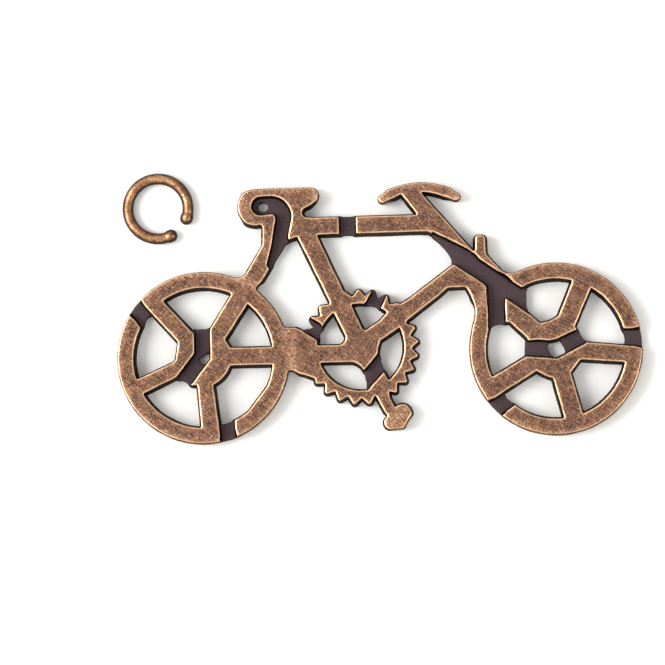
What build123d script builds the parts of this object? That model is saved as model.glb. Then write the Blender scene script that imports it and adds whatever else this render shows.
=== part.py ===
from build123d import *
import math
import os

# A ring disentanglement puzzle: a flat zinc casting shaped like a bicycle, and the loose open
# ring that is worked along it. Lengths are in millimetres and angles in degrees.
# Outlines are drawn with X along the line through both wheel hubs and Y up the bicycle, from
# the point half way between the hubs. At the end everything is moved together, so that the
# row's origin is the middle of the underside of the whole set, as it lies on a table.

# Driving dimensions of the casting.
PLATE_THICKNESS = 4.0
NOTCH_DEPTH = 2.0
HUB_SPACING = 73.4
WHEEL_RADIUS = 18.1
RIM_INNER_RADIUS = 14.6
CHAINRING_CENTRE = (-3.9, 1.4)
CHAINRING_TIP_RADIUS = 12.0
CHAINRING_ROOT_RADIUS = 10.55
CHAINRING_INNER_RADIUS = 9.1
CHAINRING_TEETH = 25
FIRST_TOOTH_ANGLE = 4.4
TOOTH_LAG = 3.0
TOOTH_LAG_DIRECTION = 228.0
TOOTH_TIP_HALF_ANGLE = 0.9
HANGING_HOLE_RADIUS = 1.3
HANGING_HOLE_CENTRE = (-23.7, 31.3)

# Driving dimensions of the ring. Its gap passes the thin floors and not the full thickness.
RING_CENTRE = (-45.6, 31.6)
RING_MEAN_RADIUS = 6.3
WIRE_RADIUS = 1.15
BALL_RADIUS = 1.35
RING_GAP = 2.15
RING_GAP_DIRECTION = -42.8

WEB = PLATE_THICKNESS - NOTCH_DEPTH
REAR_HUB = (-HUB_SPACING / 2, 0)
FRONT_HUB = (HUB_SPACING / 2, 0)


def outline(start, *steps):
    """A closed flat face. A step is a point to run straight to, or (over, to) for an arc."""
    edges = []
    here = start
    for step in steps:
        if isinstance(step[0], tuple):
            over, there = step
            edges.append(ThreePointArc(here, over, there))
        else:
            there = step
            edges.append(Line(here, there))
        here = there
    if here != start:
        edges.append(Line(here, start))
    return make_face(edges)


def disc(centre, radius):
    return Pos(*centre) * Circle(radius)


def polar(centre, radius, angle):
    turn = math.radians(angle)
    return (centre[0] + radius * math.cos(turn), centre[1] + radius * math.sin(turn))


# ---- outlines of the bicycle, full thickness ----

def tooth_angle(step):
    """Evenly spaced teeth, except that those at the lower left lag a little."""
    even = FIRST_TOOTH_ANGLE + step * 360 / CHAINRING_TEETH
    nearness = max(0, math.cos(math.radians(even - TOOTH_LAG_DIRECTION)))
    return even - TOOTH_LAG * nearness**4


def toothed_disc():
    """The chainring's outside: straight-sided teeth with narrow flat tips."""
    points = []
    for tooth in range(CHAINRING_TEETH):
        angle = tooth_angle(tooth)
        points.append(polar(CHAINRING_CENTRE, CHAINRING_TIP_RADIUS, angle - TOOTH_TIP_HALF_ANGLE))
        points.append(polar(CHAINRING_CENTRE, CHAINRING_TIP_RADIUS, angle + TOOTH_TIP_HALF_ANGLE))
        points.append(polar(CHAINRING_CENTRE, CHAINRING_ROOT_RADIUS, tooth_angle(tooth + 0.5)))
    return outline(points[0], *points[1:])


def chain_stay_web():
    """The wedge that joins the rear wheel to the chainring."""
    return outline(
        (-19.6, 6.1), ((-18.0, 5.95), (-16.4, 5.3)), (-12.9, 3.0), (-12.3, -2.0), (-12.6, -5.0),
        (-13.45, -5.8), (-13.55, -4.95), ((-16.4, -3.9), (-19.1, -3.2)), (-21.0, 0.0),
    )


def seat_stay():
    """The curved stay from the rear rim up to the saddle."""
    return outline(
        (-24.1, 29.0), (-24.1, 27.5), ((-23.8, 27.2), (-23.7, 26.6)), (-23.75, 23.6),
        ((-23.9, 23.0), (-24.3, 22.4)), (-27.3, 17.5), ((-28.4, 16.9), (-31.0, 17.1)),
        (-31.0, 15.5), (-25.2, 14.0), (-22.4, 18.5), (-20.3, 21.6), (-19.5, 23.0),
        ((-18.9, 23.8), (-18.0, 24.3)), (-16.5, 24.8), (-15.5, 29.5),
    )


def saddle():
    return outline(
        (-24.1, 27.5), ((-29.1, 31.35), (-25.2, 35.15)), (-13.7, 35.2),
        ((-11.75, 33.9), (-12.5, 31.85)), (-14.6, 30.8), ((-15.45, 29.8), (-14.7, 28.8)),
        (-13.4, 28.65), (-12.3, 25.1), (-18.4, 25.1),
    )


def seat_tube():
    return outline(
        (-17.0, 26.0), (-16.6, 25.0), (-9.85, 10.4), (-12.1, 10.25), (-9.1, 8.8), (-6.8, 3.8),
        (-3.4, 5.1), (-5.9, 10.4), (-5.3, 11.8),
        ((-6.9, 12.8), (-7.6, 14.1)), (-12.4, 24.8), (-12.4, 27.0),
    )


def top_tube():
    return outline((-15.0, 25.05), (11.5, 25.15), (8.7, 28.65), (-15.0, 28.65))


def handlebar_and_stem():
    bar = outline(
        (1.0, 33.2), ((9.3, 35.7), (17.1, 33.3)), ((17.8, 32.1), (16.3, 31.2)), (15.9, 31.4),
        ((12.8, 32.85), (9.3, 33.45)), (5.35, 33.15), (1.65, 31.0), ((0.35, 31.8), (1.0, 33.2)),
    )
    stem = outline((5.0, 34.0), (5.35, 33.1), (8.7, 28.6), (11.5, 25.0), (19.9, 20.9), (9.35, 33.4), (9.2, 34.5))
    return bar + stem


def head_and_down_tube():
    """The head with its small lamp stub, the fork crown and the down tube."""
    return outline(
        (9.5, 25.1), (9.5, 27.5), (12.0, 30.2), (19.75, 20.95), ((20.15, 20.75), (20.5, 21.1)),
        (20.5, 23.3), ((20.7, 23.8), (21.2, 24.0)), (21.9, 24.0), ((22.4, 23.8), (22.6, 23.3)),
        (22.6, 20.8), ((22.85, 19.9), (23.4, 19.2)), (25.6, 16.8), ((26.6, 16.35), (29.2, 16.5)),
        (31.0, 12.0), (23.5, 2.0), (18.7, 1.9), (19.2, 4.8), (19.85, 7.0),
        ((19.6, 10.6), (18.7, 12.7)), ((18.4, 13.15), (17.9, 13.3)), (15.0, 13.3),
        ((14.6, 13.25), (14.2, 13.0)), (12.7, 11.7), (5.7, 6.5), (1.0, 7.0), (2.4, 10.2),
        ((3.6, 10.0), (5.0, 10.35)), (6.6, 11.3), (15.9, 18.1), ((15.2, 20.2), (14.1, 21.7)),
        (12.0, 24.0), ((11.2, 24.9), (10.4, 25.1)),
    )


def crank_and_pedal():
    crank = outline(
        (-2.5, -7.5), (-0.9, -9.0), (1.1, -12.9), (2.5, -14.0), (3.5, -12.0), (2.9, -11.3),
        (1.9, -9.3), (1.6, -6.5),
    )
    pedal = outline(
        (1.1, -13.2), (2.85, -11.35), ((3.9, -10.85), (5.1, -10.75)), ((5.9, -11.5), (6.45, -12.8)),
        (5.2, -15.4), ((4.8, -15.9), (4.2, -16.1)), (2.0, -16.1), ((0.6, -14.9), (1.1, -13.2)),
    )
    return crank + pedal


# ---- openings that go right through ----

def rear_wheel_openings():
    """Five openings between the spokes of the rear wheel, before the rim clips them."""
    between_top_spokes = outline(
        (-48.4, 16.0), (-39.1, 5.6), ((-37.2, 5.95), (-35.15, 5.9)), (-30.5, 13.2), (-28.5, 16.5),
        (-38.0, 22.0),
    )
    left = outline((-52.0, 15.0), (-41.85, 3.4), (-42.5, -0.4), (-43.0, -0.8), (-54.0, -5.7))
    lower_left = outline(
        (-54.0, -9.3), (-42.5, -3.95), ((-41.0, -4.5), (-39.3, -5.7)), (-38.2, -5.6), (-38.0, -5.9),
        (-37.2, -17.0),
    )
    lower_right = outline(
        (-33.25, -18.8), (-34.75, -5.7), ((-32.4, -3.9), (-31.2, -1.75)), (-20.0, -1.75),
    )
    upper_right = outline((-20.0, 1.9), (-31.0, 1.9), (-32.1, 3.7), (-24.0, 15.9))
    return [between_top_spokes, left, lower_left, lower_right, upper_right]


def front_wheel_openings():
    """Five openings between the spokes of the front wheel, before the rim clips them."""
    top = outline(
        (30.65, 17.0), (30.65, 8.0), (33.5, 5.35), ((35.6, 5.85), (37.0, 6.5)), (37.5, 7.0),
        (41.7, 17.0),
    )
    right = outline((46.3, 17.0), (40.65, 4.5), (42.8, 1.15), (56.0, -0.25), (56.0, 12.0))
    lower_right = outline((42.7, -17.0), (39.6, -5.0), (41.65, -2.4), (56.0, -3.65))
    lower_left = outline(
        (19.5, -12.4), (32.5, -4.55), (34.2, -5.5), ((35.1, -5.9), (35.9, -6.1)), (38.7, -17.0),
    )
    left = outline(
        (20.0, 4.2), ((23.6, 5.35), (27.2, 5.8)), (31.0, 2.1), ((30.35, 0.3), (30.6, -1.4)),
        (20.0, -7.5),
    )
    return [top, right, lower_right, lower_left, left]


def chainring_openings():
    """Four openings round the crank hub. One has its own outer edge, beyond the round one."""
    upper_left = outline(
        (-12.95, 1.9), (-8.3, 1.9), ((-7.5, 2.3), (-6.9, 3.6)), (-9.4, 8.95), (-11.95, 6.4),
        ((-12.75, 4.2), (-12.95, 1.9)),
    )
    upper_right = outline(
        (-6.0, 11.0), (-3.4, 5.15), ((-3.0, 4.85), (-2.6, 4.9)), (0.2, 6.75), (1.9, 8.5), (1.0, 11.0),
    )
    right = outline(
        (6.0, 6.3), (0.2, 2.6), ((-0.3, 0.9), (-0.45, -0.2)), (0.75, -3.7), (2.4, -7.0), (8.0, -2.0),
    )
    lower_left = outline(
        (-14.0, -1.65), (-5.6, -1.7), ((-4.5, -2.2), (-3.3, -3.5)), (-2.3, -7.4), (-3.0, -9.0),
        (-12.0, -9.0),
    )
    inside = disc(CHAINRING_CENTRE, CHAINRING_INNER_RADIUS)
    return [upper_left, upper_right & inside, right & inside, lower_left & inside]


def hub_openings():
    """The odd-shaped window in the floor of each hub channel, as wide as the channel."""
    rear = outline((-34.0, 2.5), (-38.0, -0.1), ((-37.5, -0.95), (-36.0, -2.2)), (-34.0, -1.0))
    front = outline(
        (34.95, 3.0), ((34.95, 0.0), (36.2, -2.6)), (39.9, -2.6), (39.4, -0.75),
        ((38.3, 0.7), (37.9, 3.2)),
    )
    return [rear & rear_hub_channel(), front & front_hub_channel()]


# ---- the thin places, cut from the top ----

def rear_hub_channel():
    return outline(
        (-39.1, 6.6), (-39.1, 5.6), (-38.55, 5.2), (-38.55, 1.0), (-42.5, -4.0), (-40.5, -6.4),
        (-39.0, -5.3), (-35.15, -0.2), (-35.15, 6.6),
    )


def front_hub_channel():
    return outline(
        (29.9, 1.8), (33.4, 1.95), ((35.1, 1.75), (36.8, 1.95)), (41.3, 4.0), (43.1, 1.0),
        (37.5, -1.8), ((37.1, -2.05), (36.6, -2.1)), (30.4, -1.45),
    )


def rear_wheel_notches():
    upper_left_rim = outline((-52.0, 15.0), (-41.85, 3.4), (-49.2, 6.0), (-52.9, 11.2))
    bottom_rim = outline((-34.75, -5.7), (-33.25, -18.8), (-30.1, -18.8), (-30.45, -12.6))
    return [upper_left_rim, rear_hub_channel(), bottom_rim]


def front_wheel_notches():
    right_rim = outline((50.0, 3.8), (56.0, 3.8), (56.0, -0.25), (42.8, 1.15))
    lower_left_rim = outline((32.5, -4.55), (19.5, -12.4), (23.5, -14.5), (28.6, -11.1))
    return [front_hub_channel(), right_rim, lower_left_rim]


def hook_channel():
    """The channel that runs up the seat stay and hooks round inside the saddle."""
    return outline(
        (-22.3, 17.9), (-23.1, 19.0), (-22.0, 23.2), (-21.0, 28.6), ((-21.2, 29.3), (-22.2, 29.55)),
        ((-22.9, 29.5), (-23.7, 29.4)), ((-26.0, 31.2), (-24.0, 33.35)), (-21.6, 33.4),
        ((-18.6, 31.8), (-17.55, 28.8)), (-18.4, 25.1), (-18.4, 22.0),
    )


def frame_notches():
    top_tube_notch = outline((-7.8, 24.0), (-7.8, 30.0), (-4.2, 30.0), (-4.2, 24.0))
    head_and_fork = outline(
        (11.5, 25.15), (18.3, 21.6), ((19.9, 20.6), (21.4, 19.0)), (29.9, 12.9), (31.6, 13.6),
        (31.6, 7.0), (30.6, 7.7), (26.4, 10.8), (26.4, 4.8), (22.7, 4.5), (22.8, 13.3),
        (15.9, 18.1), (12.0, 21.0),
    )
    return [top_tube_notch, head_and_fork]


def chainring_notches():
    left = outline(
        (-16.4, 7.0), (-16.4, 5.3), (-12.9, 3.0), (-12.85, 2.2), (-11.0, 2.2), (-11.95, 6.4),
        (-15.4, 8.6),
    )
    top = outline(
        (-1.0, 13.5), (-2.6, 10.8), (-3.1, 10.3), (-3.1, 8.5), (0.5, 8.5), (0.6, 9.5), (2.5, 13.3),
    )
    crank = outline((-4.6, -5.2), (-3.2, -3.35), (-0.45, -0.2), (1.4, -2.0), (0.75, -4.05), (-2.35, -7.4))
    return [left, top, crank]


# ---- the two pieces ----

def bicycle_plate():
    rear_rim = disc(REAR_HUB, WHEEL_RADIUS)
    front_rim = disc(FRONT_HUB, WHEEL_RADIUS)
    sheet = rear_rim + front_rim + toothed_disc()
    sheet = sheet + chain_stay_web() + seat_stay() + saddle() + seat_tube() + top_tube()
    sheet = sheet + handlebar_and_stem() + head_and_down_tube() + crank_and_pedal()
    for opening in rear_wheel_openings():
        sheet = sheet - (opening & disc(REAR_HUB, RIM_INNER_RADIUS))
    for opening in front_wheel_openings():
        sheet = sheet - (opening & disc(FRONT_HUB, RIM_INNER_RADIUS))
    for opening in chainring_openings():
        sheet = sheet - (opening & disc(CHAINRING_CENTRE, CHAINRING_INNER_RADIUS))
    for opening in hub_openings():
        sheet = sheet - opening
    sheet = sheet - disc(HANGING_HOLE_CENTRE, HANGING_HOLE_RADIUS)
    plate = extrude(sheet, PLATE_THICKNESS)
    notches = rear_wheel_notches() + front_wheel_notches() + frame_notches() + chainring_notches()
    notches.append(hook_channel())
    for notch in notches:
        plate = plate - Pos(0, 0, WEB) * extrude(notch, 2 * NOTCH_DEPTH)
    return plate


def open_ring():
    """Round wire bent to a circle, with a ball at each end, resting on its balls and its back."""
    gap_half_angle = math.degrees(math.asin((RING_GAP / 2 + BALL_RADIUS) / RING_MEAN_RADIUS))
    bend = CenterArc((0, 0), RING_MEAN_RADIUS, gap_half_angle, 360 - 2 * gap_half_angle)
    wire = sweep(Plane(bend @ 0, z_dir=bend % 0) * Circle(WIRE_RADIUS), bend)
    ring = wire + Pos(bend @ 0) * Sphere(BALL_RADIUS) + Pos(bend @ 1) * Sphere(BALL_RADIUS)
    balls_x = RING_MEAN_RADIUS * math.cos(math.radians(gap_half_angle))
    lean = math.degrees(math.asin((BALL_RADIUS - WIRE_RADIUS) / (balls_x + RING_MEAN_RADIUS)))
    ring = Rot(0, 0, RING_GAP_DIRECTION) * Rot(0, -lean, 0) * ring
    return Pos(*RING_CENTRE, -ring.bounding_box().min.Z) * ring


pieces = {"bicycle_plate": bicycle_plate().solid(), "open_ring": open_ring().solid()}
boxes = [piece.bounding_box() for piece in pieces.values()]
middle_x = (min(box.min.X for box in boxes) + max(box.max.X for box in boxes)) / 2
middle_y = (min(box.min.Y for box in boxes) + max(box.max.Y for box in boxes)) / 2
print(f"half way between the hubs is at x {-middle_x:.3f}, y {-middle_y:.3f}")
os.makedirs("parts", exist_ok=True)
for name, piece in pieces.items():
    export_step(Pos(-middle_x, -middle_y, 0) * piece, f"parts/{name}.step")
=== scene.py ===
import math

import bpy
import numpy as np
from mathutils import Matrix, Vector


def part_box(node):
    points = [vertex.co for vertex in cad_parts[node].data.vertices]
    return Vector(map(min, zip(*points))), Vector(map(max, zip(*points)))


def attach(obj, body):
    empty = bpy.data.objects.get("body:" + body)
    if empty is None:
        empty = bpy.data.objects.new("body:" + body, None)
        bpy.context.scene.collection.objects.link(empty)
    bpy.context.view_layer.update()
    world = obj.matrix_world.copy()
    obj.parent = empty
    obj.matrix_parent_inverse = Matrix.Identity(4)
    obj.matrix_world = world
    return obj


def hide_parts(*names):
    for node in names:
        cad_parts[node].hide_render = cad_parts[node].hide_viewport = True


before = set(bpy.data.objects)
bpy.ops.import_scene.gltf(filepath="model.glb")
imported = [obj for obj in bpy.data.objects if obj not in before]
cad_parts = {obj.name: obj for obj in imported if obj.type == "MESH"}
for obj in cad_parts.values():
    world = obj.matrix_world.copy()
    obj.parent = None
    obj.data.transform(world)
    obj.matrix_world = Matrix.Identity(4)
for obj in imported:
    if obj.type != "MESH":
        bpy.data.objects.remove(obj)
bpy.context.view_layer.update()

# Mesh code works in millimetres and everything else in metres.
MM = 0.001

# ---- the casting ----
PLATE_NODE = "bicycle_plate"
WHEEL_RADIUS = 18.1
PARTING_HEIGHT = 2.0

# The cells that the mesh is built from, and about how many triangles are kept.
PLATE_CELL = 0.13
PLATE_TRIANGLES = 190000

# Edges are rounded round by round: points move a share of the way to their neighbours' middle.
ROUNDING_ROUNDS = 14
INNER_ROUNDING = 0.28
FREE_EDGE_ROUNDING = 0.75

# Inner walls stand out from the CAD walls. Where the plate is full height they do so by a growth
# at the top and a draft for each millimetre down, and in the thin places by one low growth.
INNER_GROWTH = 0.08
INNER_DRAFT = 0.12
LOW_GROWTH = 0.2

# Full height reaches this far down from the top. On a plan in small cells it grows by the reach,
# and then blends into the thin places over the fade, both counted in cells.
LAND_DEPTH = 0.4
LAND_CELL = 0.2
LAND_REACH = 3
LAND_FADE = 3

# Free outer walls lean in for each millimetre from the parting line, which has a ridge of flash.
FREE_LEAN = 0.08
FLASH = 0.03
FLASH_WIDTH = 0.1

# The uneven skin. Walls wobble, mostly inward. Faces have dents and sink toward their edges, and
# their highest points are trimmed. Layers of unevenness have a length, a seed and a weight.
WAVES = 20
WAVE_SPREAD = (0.7, 1.5)
DEEPEST_DENT = 2
WOBBLE = 0.03
WOBBLE_INWARD = 1.2
WOBBLE_LAYERS = ((5.0, 1, 1.0), (1.6, 2, 0.5))
SWELL = 0.007
SWELL_LAYERS = ((3.2, 3, 0.7), (1.1, 4, 0.5))
CROWN = 0.05
TOP_TRIM = 0.003

# Walls are where normals point up by less than the steepness, and faces get their edge marks from
# them: wear, and on the floors patina with painted shade at the walls' feet. Walls within the reach
# of a low height have the thin places' open edges and give no marks.
WALL_STEEPNESS = 0.5
LOW_WALL_MIDDLE = 1.4
LOW_WALL_REACH = 0.8
EDGE_ROUNDS = 30

# Edges that hands wear round: the rims between two radii, all that is far above the hubs, and
# tips. A tip's place is from half way between the hubs: x, y and radius.
RIM_INSIDE = 16.4
RIM_OUTSIDE = 20.2
TOP_EDGE = 33.6
HANDLED_FADE = 1.5
HANDLED_TIPS = {
    "saddle_nose": (-29.8, 31.2, 4.0),
    "saddle_back": (-12.2, 33.6, 2.6),
    "left_grip": (1.0, 32.0, 3.0),
    "right_grip": (17.3, 32.4, 3.0),
    "pedal": (3.6, -14.2, 3.4),
}

# Walls whose normals run along the rim by more than this are notch ends, which stay dark.
NOTCH_END_FACING = 0.6

# ---- the ring ----
RING_NODE = "open_ring"
RING_MEAN_RADIUS = 6.3
WIRE_RADIUS = 1.15
BALL_RADIUS = 1.35
BALL_NECK = 0.85
RING_GAP = 2.15
RING_GAP_DIRECTION = -42.8

# Points round the wire, and stations along the wire and over each end.
RING_AROUND = 64
RING_STATIONS = 240
RING_CAP_STATIONS = 22

# Dents, as a share of the wire's thickness.
RING_WEAR = 0.006
RING_LAYERS = ((4.0, 11, 1.0), (1.5, 12, 0.6))

# ---- the picture ----
# Turns are in degrees. The camera's place is measured from the aim, where its field is this wide.
PICTURE_TURN = 1.61
AIM = Vector((-9.65, -5.94, 4.0)) * MM
CAMERA_ACROSS = 0.029
CAMERA_BELOW = 0.063
CAMERA_ABOVE = 0.925
CAMERA_ROLL = 0.2
FIELD_WIDTH = 0.1383
SENSOR_WIDTH = 36.0
FLOOR_HEIGHT = -0.00002

# The surround's strength, and how much it rises toward its bright side and falls away from it.
SKY_STRENGTH = 0.92
SKY_SLOPE = 0.7
SKY_BRIGHT_SIDE = (-0.99, -0.10, 0.0)

# Soft lights: place, side and watts.
SOFTBOXES = {
    "fill": ((0.60, -0.20, 0.42), 0.40, 2.0),
    "key": ((-0.86, 0.06, 0.86), 0.62, 11.5),
}


# ---- mesh code ----

def unevenness(points, length, seed):
    """Smooth noise, mostly from -1 to 1: seeded waves of about one length, in all directions."""
    random = np.random.default_rng(seed)
    total = np.zeros(len(points))
    for _ in range(WAVES):
        direction = random.normal(size=3)
        direction *= random.uniform(*WAVE_SPREAD) * 2 * math.pi / length / np.linalg.norm(direction)
        total += np.sin(points @ direction + random.uniform(0, 2 * math.pi))
    return total / math.sqrt(2 * WAVES)


def layered(points, layers, level=0.0):
    """Layers of unevenness on top of a level."""
    for length, seed, weight in layers:
        level = level + weight * unevenness(points, length, seed)
    return level


def points_of(mesh, quality="co"):
    values = np.zeros(len(mesh.vertices) * 3, np.float32)
    mesh.vertices.foreach_get(quality, values)
    return values.reshape(-1, 3).astype(float)


def place_points(mesh, points):
    mesh.vertices.foreach_set("co", points.astype(np.float32).ravel())
    mesh.update()


def store(mesh, name, values):
    attribute = mesh.attributes.new(name, "FLOAT", "POINT")
    attribute.data.foreach_set("value", values.astype(np.float32))


def applied(mesh, name, kind, **settings):
    """The mesh that one modifier makes of a mesh."""
    holder = bpy.data.objects.new(name, mesh)
    bpy.context.scene.collection.objects.link(holder)
    modifier = holder.modifiers.new(kind, kind)
    for setting, value in settings.items():
        setattr(modifier, setting, value)
    graph = bpy.context.evaluated_depsgraph_get()
    made = bpy.data.meshes.new_from_object(holder.evaluated_get(graph))
    bpy.data.objects.remove(holder)
    made.name = name
    return made


def edges_of(mesh):
    """The first and the second point of every edge, and how many neighbours each point has."""
    pairs = np.zeros(len(mesh.edges) * 2, np.int32)
    mesh.edges.foreach_get("vertices", pairs)
    first, second = pairs.reshape(-1, 2).T
    return first, second, np.bincount(pairs, minlength=len(mesh.vertices))


def neighbour_mean(values, edges):
    """For each point, the mean of a value over its neighbours."""
    first, second, neighbours = edges
    total = np.bincount(first, values[second], len(values))
    total += np.bincount(second, values[first], len(values))
    return total / neighbours


def relaxed(mesh, points, share, rounds):
    """Each point moves a share of the way to the middle of its neighbours, round after round."""
    edges = edges_of(mesh)
    for _ in range(rounds):
        middles = np.stack([neighbour_mean(along, edges) for along in points.T], axis=1)
        points = points + share[:, None] * (middles - points)
    return points


def spread(mesh, sources, rounds):
    """How near each point is to the sources, from 0 to 1: a value that soaks in round by round."""
    edges = edges_of(mesh)
    level = sources.astype(float)
    for _ in range(rounds):
        level = np.where(sources, 1.0, neighbour_mean(level, edges))
    return level


# ---- the casting's shape ----

def hub_places(low, high):
    """The middles of the two wheels of a plate with this box."""
    hub_y = low.y + WHEEL_RADIUS
    return [(low.x + WHEEL_RADIUS, hub_y), (high.x - WHEEL_RADIUS, hub_y)]


def handled_share(points, low, high):
    """How much each point belongs to the edges that hands wear round, from 0 to 1."""
    hub_y = low.y + WHEEL_RADIUS
    middle_x = (low.x + high.x) / 2
    share = np.clip((points[:, 1] - hub_y - TOP_EDGE) / HANDLED_FADE, 0, 1)
    for hub in hub_places(low, high):
        reach = np.hypot(*(points[:, :2] - hub).T)
        inside = np.clip((reach - RIM_INSIDE) / HANDLED_FADE, 0, 1)
        share = np.maximum(share, inside * np.clip((RIM_OUTSIDE - reach) / HANDLED_FADE, 0, 1))
    for x, y, radius in HANDLED_TIPS.values():
        reach = np.hypot(points[:, 0] - middle_x - x, points[:, 1] - hub_y - y)
        share = np.maximum(share, np.clip((radius - reach) / HANDLED_FADE, 0, 1))
    return share


def across_rims(points, normals, low, high):
    """Which points are on the end walls of the rims' notches, whose normals run along the rim."""
    found = np.zeros(len(points), bool)
    for hub in hub_places(low, high):
        arm = points[:, :2] - hub
        reach = np.hypot(*arm.T)
        outward = abs((arm * normals[:, :2]).sum(axis=1)) / reach
        along = np.sqrt(np.clip(1 - normals[:, 2] ** 2 - outward ** 2, 0, 1))
        found |= (reach < RIM_OUTSIDE) & (along > NOTCH_END_FACING)
    return found


def beside_land(points, top):
    """How much each point is part of, or close beside, the full-height faces, from 0 to 1."""
    margin = LAND_REACH + LAND_FADE
    cells = np.round(points[:, :2] / LAND_CELL).astype(int)
    cells += margin - cells.min(axis=0)
    land = np.zeros(cells.max(axis=0) + 1 + margin)
    land[tuple(cells[points[:, 2] > top - LAND_DEPTH].T)] = 1
    for _ in range(LAND_REACH):
        for axis in (0, 1):
            beside = np.maximum(np.roll(land, 1, axis), np.roll(land, -1, axis))
            land = np.maximum(land, beside)
    for _ in range(LAND_FADE):
        for axis in (0, 1):
            land = (np.roll(land, 1, axis) + 2 * land + np.roll(land, -1, axis)) / 4
    return land[tuple(cells.T)]


def wall_growth(points, handled, top):
    """How far each point of a wall stands out from the CAD wall."""
    tall_wall = INNER_GROWTH + INNER_DRAFT * (top - points[:, 2])
    inner_wall = LOW_GROWTH + (tall_wall - LOW_GROWTH) * beside_land(points, top)
    from_parting = abs(points[:, 2] - PARTING_HEIGHT)
    ridge = FLASH * np.exp(-(from_parting / FLASH_WIDTH) ** 2)
    free_wall = ridge - FLASH - FREE_LEAN * from_parting
    wobble = WOBBLE * (layered(points, WOBBLE_LAYERS) - WOBBLE_INWARD)
    return inner_wall + (free_wall - inner_wall) * handled + wobble


def plate_mesh():
    """The casting as it leaves the mould: rounded edges, draft, a parting line, an uneven skin."""
    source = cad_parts[PLATE_NODE].data.copy()
    source.transform(Matrix.Scale(1 / MM, 4))
    net = applied(source, "plate_net", "REMESH", mode="VOXEL", voxel_size=PLATE_CELL)
    points = points_of(net)

    low, high = (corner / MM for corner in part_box(PLATE_NODE))
    handled = handled_share(points, low, high)
    share = INNER_ROUNDING + (FREE_EDGE_ROUNDING - INNER_ROUNDING) * handled
    points = relaxed(net, points, share, ROUNDING_ROUNDS)
    place_points(net, points)

    normals = points_of(net, "normal")
    steep = abs(normals[:, 2]) < WALL_STEEPNESS
    off_low_walls = abs(points[:, 2] - LOW_WALL_MIDDLE) > LOW_WALL_REACH
    near_edge = spread(net, steep & off_low_walls, EDGE_ROUNDS)
    sideways = normals * (1, 1, 0)
    points += sideways * wall_growth(points, handled, high.z)[:, None]
    dented = layered(points, SWELL_LAYERS, level=1)
    sunk = SWELL * np.clip(dented, 0, DEEPEST_DENT) + CROWN * near_edge
    heights = points[:, 2] - normals[:, 2] * sunk
    points[:, 2] = np.clip(heights, low.z + TOP_TRIM, high.z - TOP_TRIM)

    store(net, "near_edge", near_edge)
    store(net, "handled", handled * ~across_rims(points, normals, low, high))
    place_points(net, points * MM)
    return applied(
        net, "plate", "DECIMATE", ratio=PLATE_TRIANGLES / (2 * len(net.polygons)),
        use_collapse_triangulate=True,
    )


# ---- the ring's shape ----

def tube_faces(rows, around):
    """Faces of a tube of rows of points, closed by a pole at each end that comes after them."""
    faces = []
    last_row = rows - 1
    for row in range(last_row):
        for column in range(around):
            here = row * around + column
            beside = row * around + (column + 1) % around
            faces.append((here, here + around, beside + around, beside))
    first_pole = rows * around
    last_pole = first_pole + 1
    for column in range(around):
        beside = (column + 1) % around
        faces.append((first_pole, column, beside))
        faces.append((last_pole, last_row * around + beside, last_row * around + column))
    return faces


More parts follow.
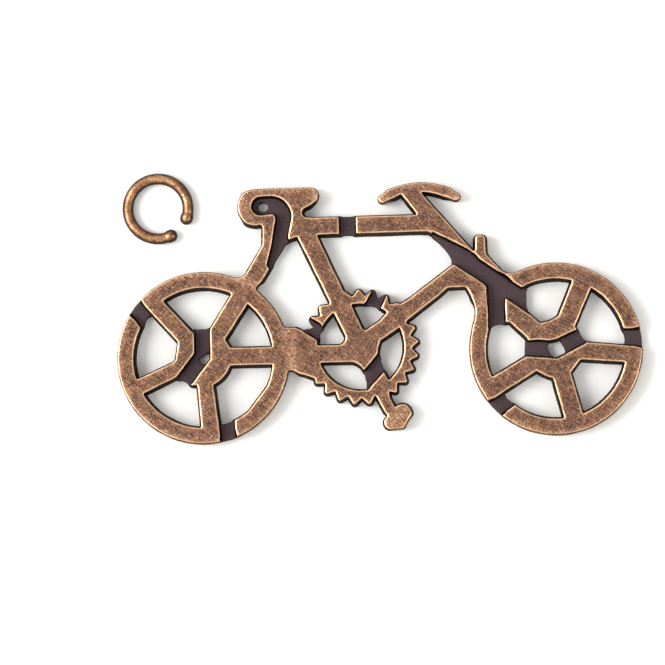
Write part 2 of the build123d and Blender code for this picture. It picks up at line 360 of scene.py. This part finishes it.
def ring_mesh():
    """Round wire bent by hand to an open circle, with a blunt ball at each end."""
    low, high = (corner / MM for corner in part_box(RING_NODE))
    outer_radius = RING_MEAN_RADIUS + WIRE_RADIUS
    gap_half_angle = math.asin((RING_GAP / 2 + BALL_RADIUS) / RING_MEAN_RADIUS)
    wire_length = (2 * math.pi - 2 * gap_half_angle) * RING_MEAN_RADIUS
    across = RING_MEAN_RADIUS * (1 + math.cos(gap_half_angle))
    lean = math.asin((BALL_RADIUS - WIRE_RADIUS) / across)

    # Places along the wire, from before its start to past its end, and the thickness at each.
    cap = -BALL_RADIUS * np.cos(np.linspace(0, math.pi / 2, RING_CAP_STATIONS))[1:-1]
    along = np.concatenate([
        cap, np.linspace(0, wire_length, RING_STATIONS), wire_length - cap[::-1],
    ])
    past_end = np.maximum(0, np.maximum(-along, along - wire_length))
    from_end = np.maximum(0, np.minimum(along, wire_length - along))
    ball = np.sqrt(BALL_RADIUS**2 - past_end**2)
    thickness = WIRE_RADIUS + (BALL_RADIUS - WIRE_RADIUS) * np.exp(-(from_end / BALL_NECK) ** 4)
    thickness = np.where(past_end > 0, ball, thickness)

    # The wire's middle line, which goes straight on past the ends.
    angles = gap_half_angle + np.clip(along, 0, wire_length) / RING_MEAN_RADIUS
    outward = np.stack([np.cos(angles), np.sin(angles), 0 * angles], 1)
    forward = np.stack([-np.sin(angles), np.cos(angles), 0 * angles], 1)
    beyond = along - np.clip(along, 0, wire_length)
    middles = outward * RING_MEAN_RADIUS + forward * beyond[:, None]

    # The skin round it, slightly dented.
    turns = np.linspace(0, 2 * math.pi, RING_AROUND, endpoint=False)
    rounds = np.cos(turns)[None, :, None] * outward[:, None, :]
    rounds = rounds + np.sin(turns)[None, :, None] * np.array((0, 0, 1.0))
    skin = (middles[:, None, :] + thickness[:, None, None] * rounds).reshape(-1, 3)
    first_pole = middles[0] - forward[0] * (BALL_RADIUS + cap[0])
    last_pole = middles[-1] + forward[-1] * (BALL_RADIUS + cap[0])
    points = np.vstack([skin, first_pole, last_pole])
    dented = np.clip(1 + layered(points, RING_LAYERS), 0, DEEPEST_DENT)
    core = np.vstack([np.repeat(middles, RING_AROUND, 0), middles[0], middles[-1]])
    points = core + (points - core) * (1 - RING_WEAR * dented)[:, None]

    mesh = bpy.data.meshes.new("ring")
    mesh.from_pydata(points.tolist(), [], tube_faces(len(along), RING_AROUND))
    direction = math.radians(RING_GAP_DIRECTION)
    mesh.transform(Matrix.Rotation(direction, 4, "Z") @ Matrix.Rotation(-lean, 4, "Y"))
    lowest = points_of(mesh)[:, 2].min()
    centre = Vector((low.x + outer_radius, high.y - outer_radius, -lowest))
    mesh.transform(Matrix.Scale(MM, 4) @ Matrix.Translation(centre))
    return mesh


# ---- materials ----

def srgb(red, green, blue):
    """A colour as a screen shows it, 0 to 255 a channel, as the linear colour that nodes take."""
    channels = [channel / 255 for channel in (red, green, blue)]
    linear = [c / 12.92 if c <= 0.04045 else ((c + 0.055) / 1.055) ** 2.4 for c in channels]
    return (*linear, 1.0)


# The casting's faces, from dark plating to bare copper, and its edges.
PLATING = srgb(68, 50, 43)
DIM_COPPER = srgb(114, 88, 79)
DIM_GOLD = srgb(130, 92, 68)
CLEAR_COPPER = srgb(162, 121, 98)
CLEAR_GOLD = srgb(180, 128, 86)
BARE_COPPER = srgb(250, 210, 176)
WORN_EDGE = srgb(226, 186, 150)

# The floors of its thin places, their corners, dark with patina and painted shade at the walls'
# feet, its walls and its parting line.
FLOOR_DARK = srgb(60, 48, 51)
FLOOR_LIGHT = srgb(86, 71, 73)
FLOOR_CORNER_PATINA_AND_SHADE = srgb(14, 10, 14)
WALL_DARK = srgb(6, 3, 1)
WALL_LIGHT = srgb(24, 12, 7)
FREE_WALL_DARK = srgb(44, 30, 25)
FREE_WALL_LIGHT = srgb(112, 82, 65)
PARTING_COPPER = srgb(206, 164, 130)

# The ring. Its darkest tone is its plating, and also the painted shade on the wire's sides and
# underside.
RING_PLATING_AND_SHADE = srgb(40, 26, 22)
RING_DIM = srgb(108, 74, 56)
RING_COPPER = srgb(148, 106, 83)
RING_GOLD = srgb(176, 126, 86)
RING_BARE = srgb(234, 186, 142)

# The floor.
PAPER_WHITE = srgb(244, 242, 238)

# Heights between which the casting's low parts give way to its top face and to its underside,
# and distances between which the copper of its parting line comes in.
TOP_BLEND = (3.3 * MM, 3.6 * MM)
UNDERSIDE_BLEND = (0.7 * MM, 0.4 * MM)
PARTING_BLEND = (0.35 * MM, 0.1 * MM)

# Scratches: how long they are for their width, and the two ways they run, in radians.
SCRATCH_STRETCH = (1, 8, 1)
SCRATCH_TURN = 0.95
CROSS_SCRATCH_TURN = -0.7


class Look:
    """One material's nodes, with short calls for those that it needs."""

    def __init__(self, name):
        self.material = bpy.data.materials.new(name)
        self.material.use_nodes = True
        self.nodes = self.material.node_tree.nodes
        self.links = self.material.node_tree.links
        self.shader = self.nodes["Principled BSDF"]
        place = self.nodes.new("ShaderNodeTexCoord")
        self.place = place.outputs["Object"]
        self.height = self.part_of(self.place, "Z")
        self.facing_up = self.part_of(place.outputs["Normal"], "Z")

    def feed(self, socket, value):
        if isinstance(value, bpy.types.NodeSocket):
            self.links.new(value, socket)
        else:
            socket.default_value = value

    def shade(self, inputs):
        """Feeds the shader's own inputs, each by its name."""
        for name, value in inputs.items():
            self.feed(self.shader.inputs[name], value)

    def part_of(self, vector, axis):
        split = self.nodes.new("ShaderNodeSeparateXYZ")
        self.feed(split.inputs[0], vector)
        return split.outputs[axis]

    def maths(self, operation, *values):
        node = self.nodes.new("ShaderNodeMath")
        node.operation = operation
        for socket, value in zip(node.inputs, values):
            self.feed(socket, value)
        return node.outputs[0]

    def step(self, value, start, end, low=0.0, high=1.0):
        """From low to high, smoothly, as value goes from start to end."""
        node = self.nodes.new("ShaderNodeMapRange")
        node.interpolation_type = "SMOOTHSTEP"
        for socket, given in zip(node.inputs, (value, start, end, low, high)):
            self.feed(socket, given)
        return node.outputs[0]

    def grain(self, size, seed, detail=2.0, roughness=0.55, stretch=(1, 1, 1), turn=0.0):
        """Noise round 0.5 whose blotches are about size metres across.

        They are stretched along axes that are turned by turn radians round the z axis.
        """
        mapping = self.nodes.new("ShaderNodeMapping")
        mapping.vector_type = "TEXTURE"
        self.feed(mapping.inputs["Vector"], self.place)
        mapping.inputs["Rotation"].default_value = (0, 0, turn)
        mapping.inputs["Scale"].default_value = stretch
        node = self.nodes.new("ShaderNodeTexNoise")
        node.noise_dimensions = "4D"
        self.feed(node.inputs["Vector"], mapping.outputs[0])
        node.inputs["W"].default_value = seed
        node.inputs["Scale"].default_value = 0.5 / size
        node.inputs["Detail"].default_value = detail
        node.inputs["Roughness"].default_value = roughness
        return node.outputs[0]

    def mixed(self, share, under, over):
        """A share of the colour over on the colour under."""
        node = self.nodes.new("ShaderNodeMix")
        node.data_type = "RGBA"
        self.feed(node.inputs["Factor"], share)
        self.feed(node.inputs["A"], under)
        self.feed(node.inputs["B"], over)
        return node.outputs["Result"]

    def weighted(self, sources, start=0.0):
        """The sum of the sources, each times its weight, on top of the start."""
        total = start
        for source, weight in sources:
            total = self.maths("MULTIPLY_ADD", source, weight, total)
        return total

    def toned(self, value, lowest, tones):
        """The lowest colour, then each of the tones, as value goes from its start to its end."""
        colour = lowest
        for start, end, tone in tones:
            colour = self.mixed(self.step(value, start, end), colour, tone)
        return colour

    def relief(self, speckle, fine, depth):
        """Bumps from two grains, as high as depth metres where their weighted sum rises by 1."""
        height = self.weighted(((fine, 0.6),), speckle)
        node = self.nodes.new("ShaderNodeBump")
        node.inputs["Distance"].default_value = depth
        self.feed(node.inputs["Height"], height)
        self.feed(self.shader.inputs["Normal"], node.outputs[0])

    def stored(self, name):
        node = self.nodes.new("ShaderNodeAttribute")
        node.attribute_name = name
        return node.outputs["Fac"]


def antique_copper():
    """The casting's finish: dark plating in low places, and copper where the faces are rubbed."""
    look = Look("antique_copper")
    near_edge = look.stored("near_edge")
    handled = look.stored("handled")
    blotches = look.grain(1.2 * MM, 1, detail=3)
    speckle = look.grain(0.18 * MM, 2, detail=3, roughness=0.6)
    fine = look.grain(0.10 * MM, 3)
    scratches = look.grain(0.11 * MM, 4, stretch=SCRATCH_STRETCH, turn=SCRATCH_TURN)
    cross_scratches = look.grain(0.11 * MM, 5, stretch=SCRATCH_STRETCH, turn=CROSS_SCRATCH_TURN)
    patches = look.grain(0.35 * MM, 6)
    hue = look.grain(0.34 * MM, 7, detail=4)

    # How far the dark plating is rubbed off a face.
    rubbed = look.weighted((
        (blotches, 0.25), (speckle, 0.82), (fine, 1.00), (scratches, 0.71),
        (cross_scratches, 0.44), (near_edge, 0.20), (handled, 0.16),
    ))
    golden = look.step(look.weighted(((near_edge, 0.10),), hue), 0.40, 0.66)
    dim = look.mixed(golden, DIM_COPPER, DIM_GOLD)
    clear = look.mixed(golden, CLEAR_COPPER, CLEAR_GOLD)
    face = look.toned(rubbed, PLATING, (
        (1.40, 1.62, dim), (1.60, 1.80, clear), (1.80, 2.02, BARE_COPPER),
    ))

    # The thin bright line on every edge, where the plating is worn through in patches.
    upward = look.maths("ABSOLUTE", look.facing_up)
    worn = look.maths("MULTIPLY", look.step(upward, 0.78, 0.88), look.step(upward, 0.994, 0.972))
    patchy = look.step(look.maths("ADD", blotches, patches), 0.75, 1.05, 0.5, 1.0)
    worn = look.maths("MULTIPLY", worn, patchy)

    # Floors of the thin places and walls keep their plating, except on the free outer edges.
    floor = look.mixed(look.step(fine, 0.35, 0.7), FLOOR_DARK, FLOOR_LIGHT)
    # Patina and painted shade: floors go near-black at the feet of the walls that rise above them.
    floor = look.mixed(look.step(near_edge, 0.15, 0.65), floor, FLOOR_CORNER_PATINA_AND_SHADE)
    wall = look.mixed(look.step(speckle, 0.35, 0.65), WALL_DARK, WALL_LIGHT)
    free_wall = look.mixed(look.step(speckle, 0.38, 0.62), FREE_WALL_DARK, FREE_WALL_LIGHT)
    from_parting = look.maths("SUBTRACT", look.height, PARTING_HEIGHT * MM)
    parting = look.step(look.maths("ABSOLUTE", from_parting), *PARTING_BLEND)
    parting = look.maths("MULTIPLY", parting, look.step(blotches, 0.38, 0.62, 0.15, 0.85))
    free_wall = look.mixed(parting, free_wall, PARTING_COPPER)
    worn_wall = look.step(look.weighted(((speckle, 0.9),), handled), 0.85, 1.45)
    wall = look.mixed(worn_wall, wall, free_wall)
    low_parts = look.mixed(look.step(upward, 0.35, 0.75), wall, floor)

    # Faces at the top and on the underside are metal, and every low part and wall is plated.
    on_face = look.maths(
        "MAXIMUM", look.step(look.height, *TOP_BLEND), look.step(look.height, *UNDERSIDE_BLEND),
    )
    level = look.step(upward, 0.68, 0.84)
    top = look.mixed(worn, look.mixed(level, wall, face), WORN_EDGE)
    metal = look.maths("MULTIPLY", on_face, level)
    face_roughness = look.step(rubbed, 1.5, 2.0, 0.56, 0.36)
    look.shade({
        "Base Color": look.mixed(on_face, low_parts, top),
        "Metallic": metal,
        "Roughness": look.step(metal, 0.0, 1.0, 0.65, face_roughness),
        "Specular IOR Level": 0.05,
    })
    look.relief(speckle, fine, 0.018 * MM)
    return look.material


def rubbed_copper_and_painted_shade():
    """The ring's finish: the same plating, rubbed through in blotches with dark in their dips, and
    painted shade that darkens the wire everywhere but on its top.
    """
    look = Look("rubbed_copper_and_painted_shade")
    blotches = look.grain(1.3 * MM, 21, detail=3)
    speckle = look.grain(0.2 * MM, 22, detail=3, roughness=0.6)
    fine = look.grain(0.08 * MM, 23)
    hue = look.grain(0.6 * MM, 24, detail=4)
    rubbed = look.weighted(((blotches, 1.3), (fine, 0.5)), speckle)
    # Painted shade: the less the wire faces up, the darker it is, so its sides and underside go
    # dark and only its top stays bright.
    rubbed = look.maths("ADD", rubbed, look.step(look.facing_up, 0.32, 0.96, -1.20, 0.0))
    clear = look.mixed(look.step(hue, 0.40, 0.60), RING_COPPER, RING_GOLD)
    look.shade({
        "Base Color": look.toned(rubbed, RING_PLATING_AND_SHADE, (
            (0.80, 1.14, RING_DIM), (1.14, 1.42, clear), (1.42, 1.70, RING_BARE),
        )),
        "Metallic": look.step(rubbed, 0.9, 1.2, 0.6, 1.0),
        "Roughness": look.step(rubbed, 1.0, 1.7, 0.5, 0.3),
    })
    look.relief(speckle, fine, 0.02 * MM)
    return look.material


def white_paper():
    look = Look("white_paper")
    look.shade({"Base Color": PAPER_WHITE, "Roughness": 0.9})
    return look.material


# ---- the pieces ----

def add_piece(name, mesh, material, node, body):
    """A piece with its finish, which stands for a CAD node and rides on its body."""
    piece = bpy.data.objects.new(name, mesh)
    bpy.context.scene.collection.objects.link(piece)
    mesh.materials.clear()
    mesh.materials.append(material)
    mesh.shade_smooth()
    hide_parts(node)
    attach(piece, body)
    return piece


plate = add_piece(
    "bicycle_casting", plate_mesh(), antique_copper(), PLATE_NODE, "bicycle",
)
plate.modifiers.new("flat_faces", "WEIGHTED_NORMAL")
add_piece("open_wire_ring", ring_mesh(), rubbed_copper_and_painted_shade(), RING_NODE, "ring")


# ---- floor, lights and camera ----

def add_floor():
    """A square of white paper, two metres a side, just under the object."""
    corners = [(x, y, FLOOR_HEIGHT) for x, y in ((-1, -1), (1, -1), (1, 1), (-1, 1))]
    mesh = bpy.data.meshes.new("floor")
    mesh.from_pydata(corners, [], [(0, 1, 2, 3)])
    mesh.materials.append(white_paper())
    floor = bpy.data.objects.new("floor", mesh)
    bpy.context.scene.collection.objects.link(floor)


def add_softbox(name, place, size, power):
    """A square soft light that faces the middle of the object."""
    lamp = bpy.data.lights.new(name, "AREA")
    lamp.size = size
    lamp.energy = power
    softbox = bpy.data.objects.new(name, lamp)
    softbox.location = place
    softbox.rotation_euler = (-Vector(place)).to_track_quat("-Z", "Y").to_euler()
    bpy.context.scene.collection.objects.link(softbox)


def add_sky():
    """A white surround that is brighter on the side where the main light stands."""
    world = bpy.data.worlds.new("studio")
    world.use_nodes = True
    nodes = world.node_tree.nodes
    links = world.node_tree.links
    place = nodes.new("ShaderNodeTexCoord")
    toward = nodes.new("ShaderNodeVectorMath")
    toward.operation = "DOT_PRODUCT"
    links.new(place.outputs["Generated"], toward.inputs[0])
    toward.inputs[1].default_value = SKY_BRIGHT_SIDE
    level = nodes.new("ShaderNodeMapRange")
    links.new(toward.outputs["Value"], level.inputs["Value"])
    level.inputs["From Min"].default_value = -1
    level.inputs["To Min"].default_value = SKY_STRENGTH - SKY_SLOPE
    level.inputs["To Max"].default_value = SKY_STRENGTH + SKY_SLOPE
    links.new(level.outputs["Result"], nodes["Background"].inputs["Strength"])
    nodes["Background"].inputs["Color"].default_value = (1, 1, 1, 1)
    bpy.context.scene.world = world


def add_camera():
    """Nearly overhead, a little below and right of the middle, as the walls that show say."""
    turn = math.radians(PICTURE_TURN)
    across = Vector((math.cos(turn), -math.sin(turn), 0))
    up = Vector((math.sin(turn), math.cos(turn), 0))
    place = AIM + across * CAMERA_ACROSS - up * CAMERA_BELOW + Vector((0, 0, CAMERA_ABOVE))
    forward = (AIM - place).normalized()
    right = forward.cross(up).normalized()
    axes = Matrix((right, right.cross(forward), -forward)).transposed()
    lens = bpy.data.cameras.new("camera")
    lens.sensor_width = SENSOR_WIDTH
    lens.lens = SENSOR_WIDTH * (AIM - place).length / FIELD_WIDTH
    camera = bpy.data.objects.new("camera", lens)
    roll = Matrix.Rotation(math.radians(CAMERA_ROLL), 4, "Z")
    camera.matrix_world = Matrix.Translation(place) @ axes.to_4x4() @ roll
    bpy.context.scene.collection.objects.link(camera)
    bpy.context.scene.camera = camera


add_floor()
add_sky()
for name, (place, size, power) in SOFTBOXES.items():
    add_softbox(name, place, size, power)
add_camera()
bpy.context.scene.view_settings.view_transform = "Standard"
